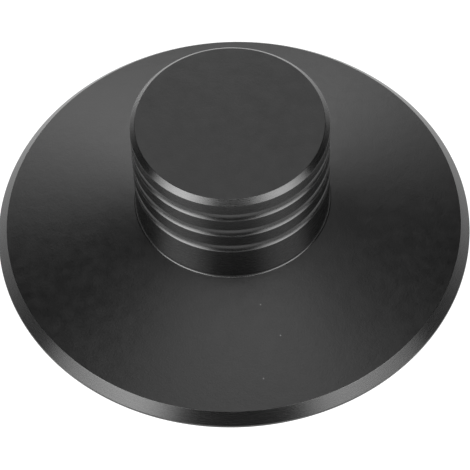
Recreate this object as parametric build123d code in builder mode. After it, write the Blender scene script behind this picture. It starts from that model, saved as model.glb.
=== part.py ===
"""Record weight: one turned aluminium disc that stands on a record, over the spindle.

Millimetres, +Z up. The origin is on the turning axis, at the flat underside.
"""

from build123d import *
from math import radians, tan
import os

os.makedirs("parts", exist_ok=True)

# Brim: a wide shallow cone with a chamfered rim, which covers the record's label
brim_diameter = 80.0
brim_wall = 0.5
brim_chamfer_width = 1.6
brim_chamfer_height = 1.85
brim_slope = 15.0
foot_fillet = 0.4

# Knob: the cylinder that the fingers hold
overall_height = 28.6
knob_diameter = 32.4
knob_chamfer = 0.86

# Finger grooves: rings around the knob, deepest under the upper lip, counted from the top
groove_count = 3
groove_width = 1.75
groove_depth = 0.6
groove_round = 0.4
groove_pitch = 4.25
top_to_first_groove = 4.0

# Spindle bore: a blind hole up from the underside
spindle_diameter = 7.2
spindle_clearance = 0.15
bore_depth = 15.0
bore_lead_in = 0.5

# Radius that takes the sharpness off each turned edge
edge_break = 0.12

brim_radius = brim_diameter / 2
cone_radius = brim_radius - brim_chamfer_width
cone_bottom = brim_wall + brim_chamfer_height
knob_radius = knob_diameter / 2
foot_height = cone_bottom + (cone_radius - knob_radius) * tan(radians(brim_slope))
bore_radius = spindle_diameter / 2 + spindle_clearance

groove_heights = [
    overall_height - top_to_first_groove - groove_pitch * number for number in range(groove_count)
]


def ring(radius, height):
    """The circular edges of the part under construction that have this radius and height."""
    circles = record_weight.edges().filter_by(GeomType.CIRCLE)
    level = circles.filter_by_position(Axis.Z, height - edge_break / 10, height + edge_break / 10)
    return level.filter_by(lambda edge: abs(edge.radius - radius) < edge_break / 10)


# A groove's section: a small round under a level shoulder, run out to the lower lip in a wide arc
clear_of_wall = groove_depth
groove_deepest = (-groove_depth, groove_width / 2 - groove_round)
groove_shoulder = (groove_round - groove_depth, groove_width / 2)
groove_lower_lip = (0, -groove_width / 2)
with BuildSketch() as groove:
    with BuildLine():
        TangentArc(groove_deepest, groove_lower_lip, tangent=(0, -1))
        TangentArc(groove_deepest, groove_shoulder, tangent=(0, 1))
        Polyline(
            groove_shoulder,
            (clear_of_wall, groove_width / 2),
            (clear_of_wall, -groove_width / 2),
            groove_lower_lip,
        )
    make_face()

with BuildPart() as record_weight:
    # Blank, turned in one piece
    with BuildSketch(Plane.XZ):
        with BuildLine():
            Polyline(
                (0, 0),
                (brim_radius, 0),
                (brim_radius, brim_wall),
                (cone_radius, cone_bottom),
                (knob_radius, foot_height),
                (knob_radius, overall_height),
                (0, overall_height),
                close=True,
            )
        make_face()
    revolve(axis=Axis.Z)

    # Finger grooves, with their lips broken
    with BuildSketch(Plane.XZ):
        with Locations([(knob_radius, height) for height in groove_heights]):
            add(groove.sketch)
    revolve(axis=Axis.Z, mode=Mode.SUBTRACT)
    for height in groove_heights:
        fillet(ring(knob_radius, height + groove_width / 2), edge_break)
        fillet(ring(knob_radius, height - groove_width / 2), edge_break)

    # Knob's top edge and foot
    chamfer(ring(knob_radius, overall_height), knob_chamfer)
    fillet(ring(knob_radius, overall_height - knob_chamfer), edge_break)
    fillet(ring(knob_radius - knob_chamfer, overall_height), edge_break)
    fillet(ring(knob_radius, foot_height), foot_fillet)

    # Brim's edges
    fillet(ring(cone_radius, cone_bottom), edge_break)
    fillet(ring(brim_radius, brim_wall), edge_break)
    fillet(ring(brim_radius, 0), edge_break)

    # Spindle bore, with a lead-in at its mouth
    with Locations(-Plane.XY):
        Hole(bore_radius, depth=bore_depth)
    chamfer(ring(bore_radius, 0), bore_lead_in)

record_weight.part.label = "record_weight"
export_step(record_weight.part, "parts/record_weight.step")
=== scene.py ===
"""Looks of the record weight: a black anodised turning on a white table, in soft studio light.

Metres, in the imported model's frame: +Z up, with the origin on the turning axis at the underside.
"""

from collections import namedtuple
import math

import bpy
from mathutils import Matrix, Vector


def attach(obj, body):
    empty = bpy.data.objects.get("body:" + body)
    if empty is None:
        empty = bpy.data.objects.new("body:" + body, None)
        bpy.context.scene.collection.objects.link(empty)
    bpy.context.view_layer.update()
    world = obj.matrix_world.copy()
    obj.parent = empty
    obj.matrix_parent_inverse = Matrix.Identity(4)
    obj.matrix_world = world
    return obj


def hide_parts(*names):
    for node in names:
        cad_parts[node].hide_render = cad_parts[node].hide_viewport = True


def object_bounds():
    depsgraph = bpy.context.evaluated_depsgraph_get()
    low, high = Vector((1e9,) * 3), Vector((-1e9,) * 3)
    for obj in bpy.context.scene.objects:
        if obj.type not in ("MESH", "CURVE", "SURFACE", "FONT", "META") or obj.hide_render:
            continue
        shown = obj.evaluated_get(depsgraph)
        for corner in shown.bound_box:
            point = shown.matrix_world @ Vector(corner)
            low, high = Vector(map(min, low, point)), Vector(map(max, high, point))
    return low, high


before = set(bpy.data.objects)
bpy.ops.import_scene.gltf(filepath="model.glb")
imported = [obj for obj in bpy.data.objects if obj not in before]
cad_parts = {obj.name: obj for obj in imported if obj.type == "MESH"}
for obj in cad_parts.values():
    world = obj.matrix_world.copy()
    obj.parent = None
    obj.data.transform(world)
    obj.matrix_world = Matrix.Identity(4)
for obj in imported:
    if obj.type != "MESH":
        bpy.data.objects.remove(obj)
cad_low, cad_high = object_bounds()

MM = 0.001
QUARTER_TURN = math.pi / 2
HALF_TURN = math.pi

# Sizes of the turning, the same as the part's own
BRIM_RADIUS = cad_high.x
TOP_HEIGHT = cad_high.z
BRIM_WALL = 0.5 * MM
BRIM_CHAMFER_WIDTH = 1.6 * MM
BRIM_CHAMFER_HEIGHT = 1.85 * MM
BRIM_SLOPE = math.radians(15.0)
FOOT_FILLET = 0.4 * MM
KNOB_RADIUS = 16.2 * MM
KNOB_CHAMFER = 0.86 * MM
GROOVE_COUNT = 3
GROOVE_WIDTH = 1.75 * MM
GROOVE_DEPTH = 0.6 * MM
GROOVE_ROUND = 0.4 * MM
GROOVE_PITCH = 4.25 * MM
TOP_TO_FIRST_GROOVE = 4.0 * MM
BORE_RADIUS = 3.75 * MM
BORE_DEPTH = 15.0 * MM
BORE_LEAD_IN = 0.5 * MM
EDGE_BREAK = 0.12 * MM

CONE_RADIUS = BRIM_RADIUS - BRIM_CHAMFER_WIDTH
CONE_BOTTOM = BRIM_WALL + BRIM_CHAMFER_HEIGHT
FOOT_HEIGHT = CONE_BOTTOM + (CONE_RADIUS - KNOB_RADIUS) * math.tan(BRIM_SLOPE)

# The wide arc of a groove, from its deepest point out to its lower lip
RUN_OUT_HEIGHT = GROOVE_WIDTH - GROOVE_ROUND
RUN_OUT_RADIUS = (RUN_OUT_HEIGHT**2 + GROOVE_DEPTH**2) / (2 * GROOVE_DEPTH)

# How finely the turning is meshed
TURN_STEPS = 384
TURNS = [math.tau * step / TURN_STEPS for step in range(TURN_STEPS)]
BREAK_STEPS = 4
FOOT_STEPS = 6
GROOVE_STEPS = 14
ON_AXIS = 1e-6 * MM


# Profile, in the half-plane of radius and height

Run = namedtuple("Run", ["points", "normals", "finish"])


def line_run(start, end, finish):
    """A straight run. Its normal is on the right of the way it goes, out of the metal."""
    along = (end - start).normalized()
    normal = Vector((along.y, -along.x))
    return Run([start, end], [normal, normal], finish)


def arc_run(centre, radius, start, end, steps, finish, hollow=False):
    """A run along an arc between two angles. A hollow arc has its normals towards its centre."""
    points = []
    normals = []
    for step in range(steps + 1):
        angle = start + (end - start) * step / steps
        out = Vector((math.cos(angle), math.sin(angle)))
        points.append(centre + out * radius)
        normals.append(-out if hollow else out)
    return Run(points, normals, finish)


def rounded(before, corner, after, radius, steps, finish):
    """The arc run that rounds a corner, where the profile comes from before and goes on to after."""
    back = (before - corner).normalized()
    onward = (after - corner).normalized()
    half_corner = back.angle(onward) / 2
    centre = corner + (back + onward).normalized() * radius / math.sin(half_corner)
    first = corner + back * radius / math.tan(half_corner) - centre
    last = corner + onward * radius / math.tan(half_corner) - centre
    start = math.atan2(first.y, first.x)
    turn = (math.atan2(last.y, last.x) - start + HALF_TURN) % math.tau - HALF_TURN
    return arc_run(centre, radius, start, start + turn, steps, finish, hollow=turn < 0)


def groove_runs(height, finish):
    """A finger groove, from its lower lip to its upper one.

    From the lower lip a wide arc runs in to the deepest point. A small quarter round leads on to the level
    shoulder under the upper lip. An edge break rounds each lip onto the land beside it.
    """
    deepest = Vector((KNOB_RADIUS - GROOVE_DEPTH, height + GROOVE_WIDTH / 2 - GROOVE_ROUND))
    wide_centre = deepest + Vector((RUN_OUT_RADIUS, 0))
    small_centre = deepest + Vector((GROOVE_ROUND, 0))
    shoulder = small_centre + Vector((0, GROOVE_ROUND))

    lip_radius = KNOB_RADIUS - EDGE_BREAK
    reach = wide_centre.x - lip_radius
    fall = math.sqrt((RUN_OUT_RADIUS + EDGE_BREAK) ** 2 - reach**2)
    lean = math.atan2(fall, reach)
    lower_centre = Vector((lip_radius, wide_centre.y - fall))
    upper_centre = Vector((lip_radius, height + GROOVE_WIDTH / 2 + EDGE_BREAK))
    return [
        arc_run(lower_centre, EDGE_BREAK, 0, lean, BREAK_STEPS, finish),
        arc_run(wide_centre, RUN_OUT_RADIUS, HALF_TURN + lean, HALF_TURN, GROOVE_STEPS, finish, hollow=True),
        arc_run(small_centre, GROOVE_ROUND, HALF_TURN, QUARTER_TURN, GROOVE_STEPS, finish, hollow=True),
        line_run(shoulder, Vector((lip_radius, shoulder.y)), finish),
        arc_run(upper_centre, EDGE_BREAK, -QUARTER_TURN, 0, BREAK_STEPS, finish),
    ]


class Section:
    """Half of the weight's section, drawn as one connected line of runs."""

    def __init__(self, start):
        self.at = start
        self.runs = []

    def line(self, end, finish):
        self.runs.append(line_run(self.at, end, finish))
        self.at = end

    def follow(self, runs, finish_before):
        """A straight run to the start of some connected runs, and then those runs."""
        self.line(runs[0].points[0], finish_before)
        self.runs.extend(runs)
        self.at = runs[-1].points[-1]

    def corner(self, corner, after, radius, steps, finish_before):
        """A straight run towards a corner, which is rounded onto the line to the next one."""
        self.follow([rounded(self.at, corner, after, radius, steps, "turned")], finish_before)


def half_section():
    """The whole section, from the bore's end round the outside to the middle of the top face."""
    base_edge = Vector((BRIM_RADIUS, 0))
    wall_top = Vector((BRIM_RADIUS, BRIM_WALL))
    cone_edge = Vector((CONE_RADIUS, CONE_BOTTOM))
    foot = Vector((KNOB_RADIUS, FOOT_HEIGHT))
    shoulder = Vector((KNOB_RADIUS, TOP_HEIGHT - KNOB_CHAMFER))
    top_edge = Vector((KNOB_RADIUS - KNOB_CHAMFER, TOP_HEIGHT))
    top_middle = Vector((0, TOP_HEIGHT))

    section = Section(Vector((0, BORE_DEPTH)))
    section.line(Vector((BORE_RADIUS, BORE_DEPTH)), "turned")
    section.line(Vector((BORE_RADIUS, BORE_LEAD_IN)), "turned")
    section.line(Vector((BORE_RADIUS + BORE_LEAD_IN, 0)), "turned")
    section.corner(base_edge, wall_top, EDGE_BREAK, BREAK_STEPS, "blasted")
    section.corner(wall_top, cone_edge, EDGE_BREAK, BREAK_STEPS, "turned")
    section.corner(cone_edge, foot, EDGE_BREAK, BREAK_STEPS, "turned")
    section.corner(foot, shoulder, FOOT_FILLET, FOOT_STEPS, "blasted")
    for number in reversed(range(GROOVE_COUNT)):
        height = TOP_HEIGHT - TOP_TO_FIRST_GROOVE - number * GROOVE_PITCH
        section.follow(groove_runs(height, "turned"), "turned")
    section.corner(shoulder, top_edge, EDGE_BREAK, BREAK_STEPS, "turned")
    section.corner(top_edge, top_middle, EDGE_BREAK, BREAK_STEPS, "turned")
    section.line(top_middle, "blasted")
    return section.runs


# Helpers for the materials' nodes

# Blender's noise stays mostly between these two values
NOISE_LOW = 0.3
NOISE_HIGH = 0.7


def add_node(tree, kind, inputs, **settings):
    """Adds a node. Each of its inputs is a plain value, or another node's output to link."""
    node = tree.nodes.new(kind)
    for name, value in settings.items():
        setattr(node, name, value)
    for name, value in inputs.items():
        if isinstance(value, bpy.types.NodeSocket):
            tree.links.new(value, node.inputs[name])
        else:
            node.inputs[name].default_value = value
    return node


def noise(tree, place, size, octaves):
    """Noise whose largest features are about this size."""
    inputs = {"Vector": place, "Scale": 1 / size, "Detail": octaves}
    return add_node(tree, "ShaderNodeTexNoise", inputs).outputs["Fac"]


def spread(tree, fac, low, high):
    """Maps noise to a range."""
    inputs = {"Value": fac, "From Min": NOISE_LOW, "From Max": NOISE_HIGH, "To Min": low, "To Max": high}
    return add_node(tree, "ShaderNodeMapRange", inputs).outputs["Result"]


def math_node(tree, operation, *values):
    inputs = dict(enumerate(values))
    return add_node(tree, "ShaderNodeMath", inputs, operation=operation).outputs["Value"]


def vector_node(tree, operation, *values, result="Vector"):
    inputs = dict(enumerate(values))
    return add_node(tree, "ShaderNodeVectorMath", inputs, operation=operation).outputs[result]


def mixed(tree, fac, first, second):
    """The first colour where fac is 0, and the second where it is 1."""
    inputs = {"Fac": fac, "Color1": first, "Color2": second}
    return add_node(tree, "ShaderNodeMixRGB", inputs).outputs["Color"]


def bumped(tree, height, distance, under=None):
    """The normal over a bump, which lies on another bump's normal where one is given."""
    inputs = {"Height": height, "Distance": distance}
    if under:
        inputs["Normal"] = under
    return add_node(tree, "ShaderNodeBump", inputs).outputs["Normal"]


# Black anodising, which both finishes share

ANODISED_BLACK = (0.002, 0.002, 0.002, 1)
ANODISED_IOR = 1.6


def anodised(name):
    """Black anodised aluminium. The dye takes nearly all the light that isn't reflected at the surface."""
    material = bpy.data.materials.new(name)
    material.use_nodes = True
    tree = material.node_tree
    inputs = tree.nodes["Principled BSDF"].inputs
    inputs["Base Color"].default_value = ANODISED_BLACK
    inputs["IOR"].default_value = ANODISED_IOR
    place = add_node(tree, "ShaderNodeTexCoord", {}).outputs["Object"]
    return material, tree, inputs, place


# Blasted finish, on the brim, the knob's top and the underside

GRAIN_SIZE = 0.3 * MM
GRAIN_OCTAVES = 2
GRAIN_BUMP = 0.014 * MM
GRAIN_ROUGHNESS = (0.3, 0.332)
CLOUD_SIZE = 2 * MM
CLOUD_OCTAVES = 4
CLOUD_BUMP = 0.025 * MM
CLOUD_ROUGHNESS = (-0.02, 0.02)
DYE_DEEP = (0.0013, 0.0013, 0.0013, 1)
DYE_THIN = (0.0027, 0.0027, 0.0027, 1)

# Specks of dust on the brim: the X and Y of each
DUST_SPECKS = [(3.86 * MM, -21.0 * MM), (6.89 * MM, -26.16 * MM), (3.84 * MM, -33.18 * MM)]
DUST_REACH = 0.15 * MM
DUST_GREY = (0.1, 0.1, 0.1, 1)


def dust(tree, place):
    """How much dust covers a point: 1 on each of the few specks on the brim, and 0 elsewhere."""
    nearest = DUST_REACH
    for x, y in DUST_SPECKS:
        height = FOOT_HEIGHT - (math.hypot(x, y) - KNOB_RADIUS) * math.tan(BRIM_SLOPE)
        gap = vector_node(tree, "DISTANCE", place, (x, y, height), result="Value")
        nearest = math_node(tree, "MINIMUM", nearest, gap)
    inputs = {"Value": nearest, "From Min": DUST_REACH, "From Max": DUST_REACH / 2}
    return add_node(tree, "ShaderNodeMapRange", inputs).outputs["Result"]


def blasted_finish():
    """Fine, even bead blasting, with a faint cloudiness in the anodising and a few specks of dust."""
    material, tree, inputs, place = anodised("black_anodised_blasted")
    grain = noise(tree, place, GRAIN_SIZE, GRAIN_OCTAVES)
    clouds = noise(tree, place, CLOUD_SIZE, CLOUD_OCTAVES)
    grain_roughness = spread(tree, grain, *GRAIN_ROUGHNESS)
    cloud_roughness = spread(tree, clouds, *CLOUD_ROUGHNESS)
    roughness = math_node(tree, "ADD", grain_roughness, cloud_roughness)
    tree.links.new(roughness, inputs["Roughness"])
    swell = bumped(tree, clouds, CLOUD_BUMP)
    tree.links.new(bumped(tree, grain, GRAIN_BUMP, swell), inputs["Normal"])
    dye = mixed(tree, spread(tree, clouds, 0.0, 1.0), DYE_DEEP, DYE_THIN)
    tree.links.new(mixed(tree, dust(tree, place), dye, DUST_GREY), inputs["Base Color"])
    return material


# Turned finish, on all the rest: the knob's sides, the grooves, the chamfers, the rim and the bore

TURNED_ANISOTROPY = 0.556
ANISOTROPY_ROTATION = 0.25
TURNED_ROUGHNESS = (0.25, 0.285)
MARK_WIDTH = 0.2 * MM
MARK_OCTAVES = 2
MARK_BUMP = 0.004 * MM

# Every mark runs round a circle of this radius in the noise: the smaller it is, the less a mark changes
MARK_CIRCLE = 1.5 * MM

# Marks are told apart by radius + MARK_LEAN * height, which changes across every turned face
MARK_LEAN = -2.0


def turned_finish():
    """Turning marks: fine rings round the axis, with the gloss stretched across them."""
    material, tree, inputs, place = anodised("black_anodised_turned")
    inputs["Anisotropic"].default_value = TURNED_ANISOTROPY
    inputs["Anisotropic Rotation"].default_value = ANISOTROPY_ROTATION
    around = add_node(tree, "ShaderNodeTangent", {}, direction_type="RADIAL", axis="Z").outputs["Tangent"]
    tree.links.new(around, inputs["Tangent"])
    axes = add_node(tree, "ShaderNodeSeparateXYZ", {"Vector": place}).outputs
    flat = add_node(tree, "ShaderNodeCombineXYZ", {"X": axes["X"], "Y": axes["Y"]}).outputs["Vector"]
    radius = vector_node(tree, "LENGTH", flat, result="Value")
    across = math_node(tree, "MULTIPLY_ADD", axes["Z"], MARK_LEAN, radius)
    heading = vector_node(tree, "NORMALIZE", flat)
    circle = vector_node(tree, "MULTIPLY", heading, (MARK_CIRCLE, MARK_CIRCLE, 0))
    lift = add_node(tree, "ShaderNodeCombineXYZ", {"Z": across}).outputs["Vector"]
    marks = noise(tree, vector_node(tree, "ADD", circle, lift), MARK_WIDTH, MARK_OCTAVES)
    tree.links.new(spread(tree, marks, *TURNED_ROUGHNESS), inputs["Roughness"])
    tree.links.new(bumped(tree, marks, MARK_BUMP), inputs["Normal"])
    return material


# The turning

def turned_point(profile, turn):
    """A point or normal of the profile, turned about Z by an angle."""
    return profile.x * math.cos(turn), profile.x * math.sin(turn), profile.y


def rings_and_bands(runs):
    """The profile's points, one for each ring, and the bands between them.

    A band has a normal at each end, and a finish.
    """
    rings = [runs[0].points[0]]
    bands = []
    for run in runs:
        for number in range(1, len(run.points)):
            rings.append(run.points[number])
            bands.append((run.normals[number - 1], run.normals[number], run.finish))
    return rings, bands


def ring_vertices(rings):
    """All the vertices, and for each ring the number of its vertex at each step of the turn."""
    vertices = []
    numbers = []
    for ring in rings:
        first = len(vertices)
        if ring.x < ON_AXIS:
            vertices.append(turned_point(ring, 0))
            numbers.append([first] * TURN_STEPS)
        else:
            vertices.extend(turned_point(ring, turn) for turn in TURNS)
            numbers.append([first + step for step in range(TURN_STEPS)])
    return vertices, numbers


def band_faces(low, high, low_normal, high_normal):
    """The faces between two rings of vertices, each as its vertices' numbers with their normals."""
    faces = []
    for step in range(TURN_STEPS):
        following = (step + 1) % TURN_STEPS
        corners = [
            (low[step], low_normal, TURNS[step]),
            (low[following], low_normal, TURNS[following]),
            (high[following], high_normal, TURNS[following]),
            (high[step], high_normal, TURNS[step]),
        ]
        # Where a ring is one vertex on the axis, the face has one corner there, not two
        face = {}
        for vertex, normal, turn in corners:
            face.setdefault(vertex, turned_point(normal, turn))
        faces.append(face)
    return faces


def turning(name, runs, materials):
    """Revolves the runs about Z into one closed mesh, with each run's own normals."""
    rings, bands = rings_and_bands(runs)
    vertices, numbers = ring_vertices(rings)
    faces = []
    slots = []
    normals = []
    slot_names = list(materials)
    for low, high, (low_normal, high_normal, finish) in zip(numbers, numbers[1:], bands):
        for face in band_faces(low, high, low_normal, high_normal):
            faces.append(list(face))
            normals.extend(face.values())
            slots.append(slot_names.index(finish))

    mesh = bpy.data.meshes.new(name)
    mesh.from_pydata(vertices, [], faces)
    for material in materials.values():
        mesh.materials.append(material)
    mesh.polygons.foreach_set("material_index", slots)
    mesh.polygons.foreach_set("use_smooth", [True] * len(faces))
    mesh.normals_split_custom_set(normals)
    mesh.update()
    piece = bpy.data.objects.new(name, mesh)
    bpy.context.scene.collection.objects.link(piece)
    return piece


finishes = {"blasted": blasted_finish(), "turned": turned_finish()}
weight = turning("turned_weight", half_section(), finishes)
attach(weight, "root")
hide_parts("record_weight")


# Table

TABLE_RADIUS = 1.5
TABLE_OPENING = BRIM_RADIUS - 0.5 * MM
TABLE_GAP = 0.02 * MM
TABLE_GREY = (0.05, 0.05, 0.05, 1)
TABLE_ROUGHNESS = 0.8
TABLE_SPECULAR = 0.0
TABLE_GLOW = 1.15
WHITE = (1, 1, 1, 1)


def white_table():
    """A matt white. Nearly all of it is glow, because the lights would fall unevenly on it."""
    material = bpy.data.materials.new("white_table")
    material.use_nodes = True
    inputs = material.node_tree.nodes["Principled BSDF"].inputs
    inputs["Base Color"].default_value = TABLE_GREY
    inputs["Roughness"].default_value = TABLE_ROUGHNESS
    inputs["Specular IOR Level"].default_value = TABLE_SPECULAR
    inputs["Emission Color"].default_value = WHITE
    inputs["Emission Strength"].default_value = TABLE_GLOW
    return material


def table_top():
    """A plain round table, open under the weight so that the underside shows from below."""
    vertices = []
    for radius in (TABLE_OPENING, TABLE_RADIUS):
        ring = Vector((radius, -TABLE_GAP))
        vertices.extend(turned_point(ring, turn) for turn in TURNS)
    faces = []
    for step in range(TURN_STEPS):
        following = (step + 1) % TURN_STEPS
        faces.append((step, TURN_STEPS + step, TURN_STEPS + following, following))
    mesh = bpy.data.meshes.new("table_top")
    mesh.from_pydata(vertices, [], faces)
    mesh.materials.append(white_table())
    table = bpy.data.objects.new("table_top", mesh)
    bpy.context.scene.collection.objects.link(table)
    return table


table_top()


# Light

SOFTBOX_DISTANCE = 0.35
SHEET_GAP = 3 * MM

# Sizes of a softbox's sheets, as shares of its own
SHEET_SHARES = [1.0, 0.75, 0.5, 0.25]


def direction(azimuth, elevation):
    """The unit vector towards an azimuth, counted from +X to +Y, and an elevation, in degrees."""
    level = math.cos(math.radians(elevation))
    return Vector((
        level * math.cos(math.radians(azimuth)),
        level * math.sin(math.radians(azimuth)),
        math.sin(math.radians(elevation)),
    ))


def softbox(name, azimuth, elevation, width, height, radiance):
    """A softbox that faces the weight: equally bright sheets, each smaller and a little nearer.

    It is brightest in its middle, where all the sheets overlap and add up to the radiance.
    """
    towards = direction(azimuth, elevation)
    for number, share in enumerate(SHEET_SHARES):
        light = bpy.data.lights.new(f"{name}_{number}", "AREA")
        light.shape = "RECTANGLE"
        light.size = width * share
        light.size_y = height * share
        light.energy = radiance / len(SHEET_SHARES) * light.size * light.size_y * math.pi
        sheet = bpy.data.objects.new(light.name, light)
        sheet.location = towards * (SOFTBOX_DISTANCE - number * SHEET_GAP)
        sheet.rotation_euler = towards.to_track_quat("Z", "Y").to_euler()
        bpy.context.scene.collection.objects.link(sheet)


softbox("left_softbox", azimuth=218, elevation=31, width=0.34, height=0.275, radiance=11.2)
softbox("right_softbox", azimuth=320, elevation=32, width=0.33, height=0.275, radiance=8.7)
softbox("front_strip", azimuth=266, elevation=50, width=0.525, height=0.047, radiance=11.0)
softbox("back_softbox", azimuth=93, elevation=33, width=0.484, height=0.239, radiance=2.9)
softbox("low_back_softbox", azimuth=122, elevation=7, width=0.082, height=0.047, radiance=18.8)
softbox("overhead_softbox", azimuth=78, elevation=73, width=0.338, height=0.239, radiance=1.5)
softbox("overhead_strip", azimuth=270, elevation=88, width=0.30, height=0.09, radiance=2.3)

# This one is below the table and lights the underside through the table's opening
softbox("underside_softbox", azimuth=270, elevation=-89, width=1.0, height=1.0, radiance=4.0)


def white_backdrop():
    """A white world that only the camera sees, so that it sheds no light on the weight."""
    world = bpy.data.worlds.new("studio")
    world.use_nodes = True
    tree = world.node_tree
    background = tree.nodes["Background"].inputs
    background["Color"].default_value = WHITE
    ray = add_node(tree, "ShaderNodeLightPath", {}).outputs
    tree.links.new(ray["Is Camera Ray"], background["Strength"])
    bpy.context.scene.world = world


white_backdrop()


# Camera

CAMERA_ELEVATION = math.radians(54.78)
CAMERA_DISTANCE = 0.4243
CAMERA_AIM = Vector((0.147 * MM, 0, -2.92 * MM))
CAMERA_ROLL = math.radians(-2.22)

# Blender takes these two in millimetres
SENSOR_WIDTH = 36.0
LENS = 189.96


def photo_camera():
    """The photograph's view: a long lens that looks down at the front, rolled a little."""
    data = bpy.data.cameras.new("camera")
    data.sensor_width = SENSOR_WIDTH
    data.lens = LENS
    camera = bpy.data.objects.new("camera", data)
    back = Vector((0, -math.cos(CAMERA_ELEVATION), math.sin(CAMERA_ELEVATION)))
    rolled = back.to_track_quat("Z", "Y").to_matrix() @ Matrix.Rotation(CAMERA_ROLL, 3, "Z")
    camera.matrix_world = Matrix.Translation(CAMERA_AIM + back * CAMERA_DISTANCE) @ rolled.to_4x4()
    bpy.context.scene.collection.objects.link(camera)
    bpy.context.scene.camera = camera


photo_camera()
bpy.context.scene.view_settings.view_transform = "Standard"

bpy.context.view_layer.update()
